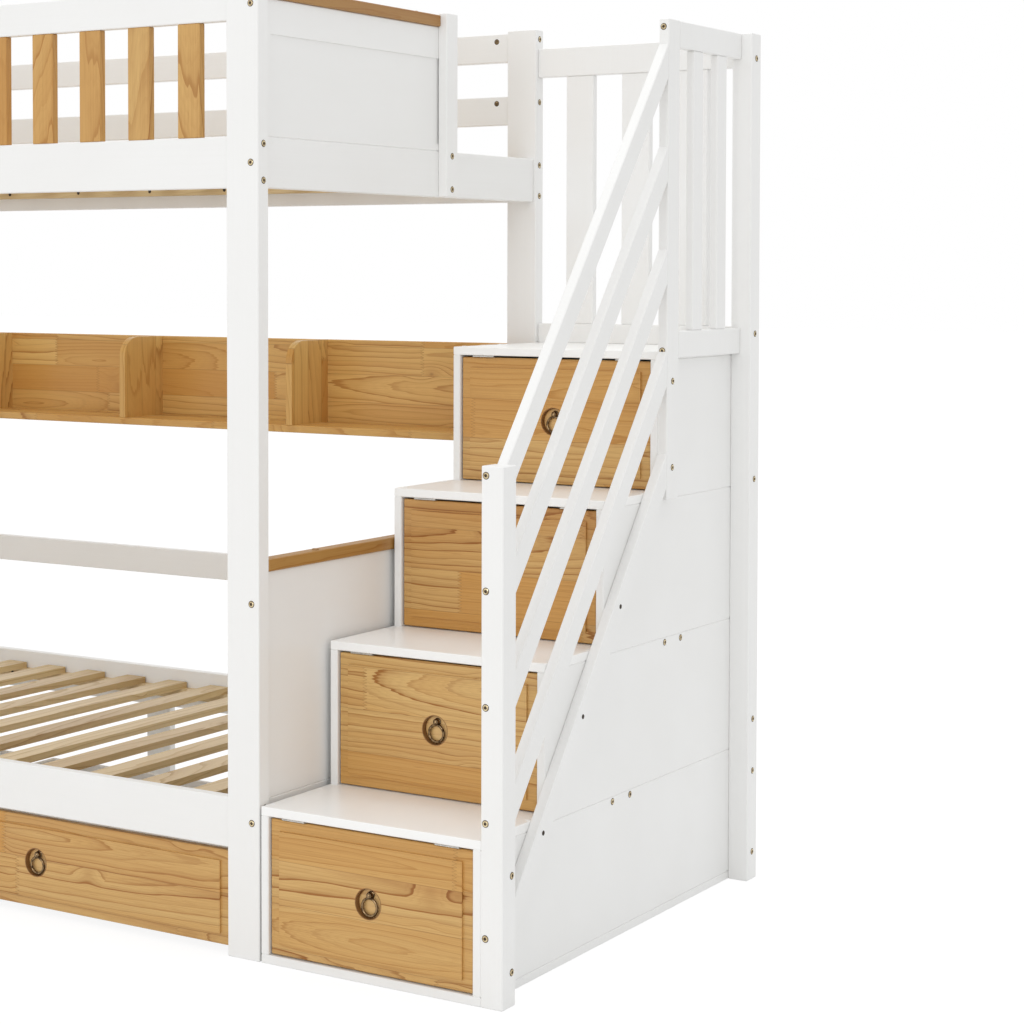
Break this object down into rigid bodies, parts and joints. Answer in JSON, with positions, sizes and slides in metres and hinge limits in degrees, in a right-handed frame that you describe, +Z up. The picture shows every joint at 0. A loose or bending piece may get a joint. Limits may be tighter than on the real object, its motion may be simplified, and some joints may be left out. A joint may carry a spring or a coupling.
{
  "type": "bunk bed with storage stairs",
  "caption": "Bunk bed with slatted bases, guard rails and a rear shelf, wheeled drawers under it, and a flight of box stairs whose steps open as flap-door cupboards.",
  "frame": {"origin": "on the floor, under the middle of the bed and stairs together", "axes": "+X along the bed towards the stairs, +Y back to the wall, +Z up"},
  "size_m": [2.56, 0.98, 1.72],
  "materials": {
    "white_paint": "satin white paint over solid wood",
    "pine": "clear lacquer over finger-jointed pine",
    "white_board": "white faced board",
    "bronze": "antique bronze",
    "steel": "nickel plated steel",
    "wheel_plastic": "black nylon"
  },
  "bodies": {
    "frame": {"bed_slats_lower": "pine", "bed_slats_upper": "pine", "centre_legs": "white_paint", "end_panel_caps": "pine", "end_panels_lower": "white_paint", "end_panels_upper": "white_paint", "end_rails": "white_paint", "entry_post": "white_paint", "flap_hinge_leaves": "steel", "front_guard_slats": "pine", "guard_rail_front": "white_paint", "guard_rails_rear": "white_paint", "landing_back_guard": "white_paint", "landing_side_guard": "white_paint", "post_front_left": "white_paint", "post_front_right": "white_paint", "post_rear_left": "white_paint", "post_rear_right": "white_paint", "shelf_case": "pine", "shelf_dividers": "pine", "side_rail_lower_front": "white_paint", "side_rail_lower_rear": "white_paint", "side_rail_upper_front": "white_paint", "side_rail_upper_rear": "white_paint", "slat_battens": "pine", "stair_back_panels": "white_paint", "stair_bars": "white_paint", "stair_cross_boards": "white_paint", "stair_floor": "white_paint", "stair_landing": "white_paint", "stair_newel": "white_paint", "stair_post_rear": "white_paint", "stair_post_upper": "white_paint", "stair_sides_left": "white_paint", "stair_sides_right": "white_paint", "stair_treads": "white_paint"},
    "flap_1": {"flap_1": "pine", "flap_fittings_1": "steel"},
    "flap_ring_1": {"flap_ring_1": "bronze"},
    "flap_2": {"flap_2": "pine", "flap_fittings_2": "steel"},
    "flap_ring_2": {"flap_ring_2": "bronze"},
    "flap_3": {"flap_3": "pine", "flap_fittings_3": "steel"},
    "flap_ring_3": {"flap_ring_3": "bronze"},
    "flap_4": {"flap_4": "pine", "flap_fittings_4": "steel"},
    "flap_ring_4": {"flap_ring_4": "bronze"},
    "drawer_left": {"drawer_front_left": "pine", "drawer_box_left": "white_board", "drawer_fittings_left": "steel"},
    "drawer_ring_left": {"drawer_ring_left": "bronze"},
    "drawer_wheels_left_front": {"drawer_wheels_left_front": "wheel_plastic"},
    "drawer_wheels_left_rear": {"drawer_wheels_left_rear": "wheel_plastic"},
    "drawer_right": {"drawer_front_right": "pine", "drawer_box_right": "white_board", "drawer_fittings_right": "steel"},
    "drawer_ring_right": {"drawer_ring_right": "bronze"},
    "drawer_wheels_right_front": {"drawer_wheels_right_front": "wheel_plastic"},
    "drawer_wheels_right_rear": {"drawer_wheels_right_rear": "wheel_plastic"}
  },
  "joints": [
    {"name": "flap_1_hinge", "type": "hinge", "parent": "frame", "child": "flap_1", "pos_m": [1.011, -0.486, 0.259], "axis": [-1, 0, 0], "range_deg": [0, 90]},
    {"name": "flap_ring_1_swing", "type": "hinge", "parent": "flap_1", "child": "flap_ring_1", "pos_m": [1.011, -0.483, 0.1515], "axis": [-1, 0, 0], "range_deg": [0, 80]},
    {"name": "flap_2_hinge", "type": "hinge", "parent": "frame", "child": "flap_2", "pos_m": [1.011, -0.278, 0.522], "axis": [-1, 0, 0], "range_deg": [0, 90]},
    {"name": "flap_ring_2_swing", "type": "hinge", "parent": "flap_2", "child": "flap_ring_2", "pos_m": [1.011, -0.275, 0.4135], "axis": [-1, 0, 0], "range_deg": [0, 80]},
    {"name": "flap_3_hinge", "type": "hinge", "parent": "frame", "child": "flap_3", "pos_m": [1.011, -0.07, 0.785], "axis": [-1, 0, 0], "range_deg": [0, 90]},
    {"name": "flap_ring_3_swing", "type": "hinge", "parent": "flap_3", "child": "flap_ring_3", "pos_m": [1.011, -0.067, 0.6765], "axis": [-1, 0, 0], "range_deg": [0, 80]},
    {"name": "flap_4_hinge", "type": "hinge", "parent": "frame", "child": "flap_4", "pos_m": [1.011, 0.138, 1.048], "axis": [-1, 0, 0], "range_deg": [0, 90]},
    {"name": "flap_ring_4_swing", "type": "hinge", "parent": "flap_4", "child": "flap_ring_4", "pos_m": [1.011, 0.141, 0.9395], "axis": [-1, 0, 0], "range_deg": [0, 80]},
    {"name": "drawer_left_slide", "type": "slide", "parent": "frame", "child": "drawer_left", "axis": [0, -1, 0], "range_m": [0, 0.45]},
    {"name": "drawer_ring_left_swing", "type": "hinge", "parent": "drawer_left", "child": "drawer_ring_left", "pos_m": [-0.7475, -0.479, 0.1145], "axis": [-1, 0, 0], "range_deg": [0, 80]},
    {"name": "drawer_wheels_left_front_turn", "type": "hinge", "parent": "drawer_left", "child": "drawer_wheels_left_front", "pos_m": [-0.7475, -0.406, 0.015], "axis": [1, 0, 0], "range_deg": [-1, 1720]},
    {"name": "drawer_wheels_left_rear_turn", "type": "hinge", "parent": "drawer_left", "child": "drawer_wheels_left_rear", "pos_m": [-0.7475, 0.01, 0.015], "axis": [1, 0, 0], "range_deg": [-1, 1720]},
    {"name": "drawer_right_slide", "type": "slide", "parent": "frame", "child": "drawer_right", "axis": [0, -1, 0], "range_m": [0, 0.45]},
    {"name": "drawer_ring_right_swing", "type": "hinge", "parent": "drawer_right", "child": "drawer_ring_right", "pos_m": [0.2475, -0.479, 0.1145], "axis": [-1, 0, 0], "range_deg": [0, 80]},
    {"name": "drawer_wheels_right_front_turn", "type": "hinge", "parent": "drawer_right", "child": "drawer_wheels_right_front", "pos_m": [0.2475, -0.406, 0.015], "axis": [1, 0, 0], "range_deg": [-1, 1720]},
    {"name": "drawer_wheels_right_rear_turn", "type": "hinge", "parent": "drawer_right", "child": "drawer_wheels_right_rear", "pos_m": [0.2475, 0.01, 0.015], "axis": [1, 0, 0], "range_deg": [-1, 1720]}
  ],
  "couplings": [
    {"joint": "drawer_wheels_left_front_turn", "follows": "drawer_left_slide", "rad_per_m": 66.667},
    {"joint": "drawer_wheels_left_rear_turn", "follows": "drawer_left_slide", "rad_per_m": 66.667},
    {"joint": "drawer_wheels_right_front_turn", "follows": "drawer_right_slide", "rad_per_m": 66.667},
    {"joint": "drawer_wheels_right_rear_turn", "follows": "drawer_right_slide", "rad_per_m": 66.667}
  ]
}
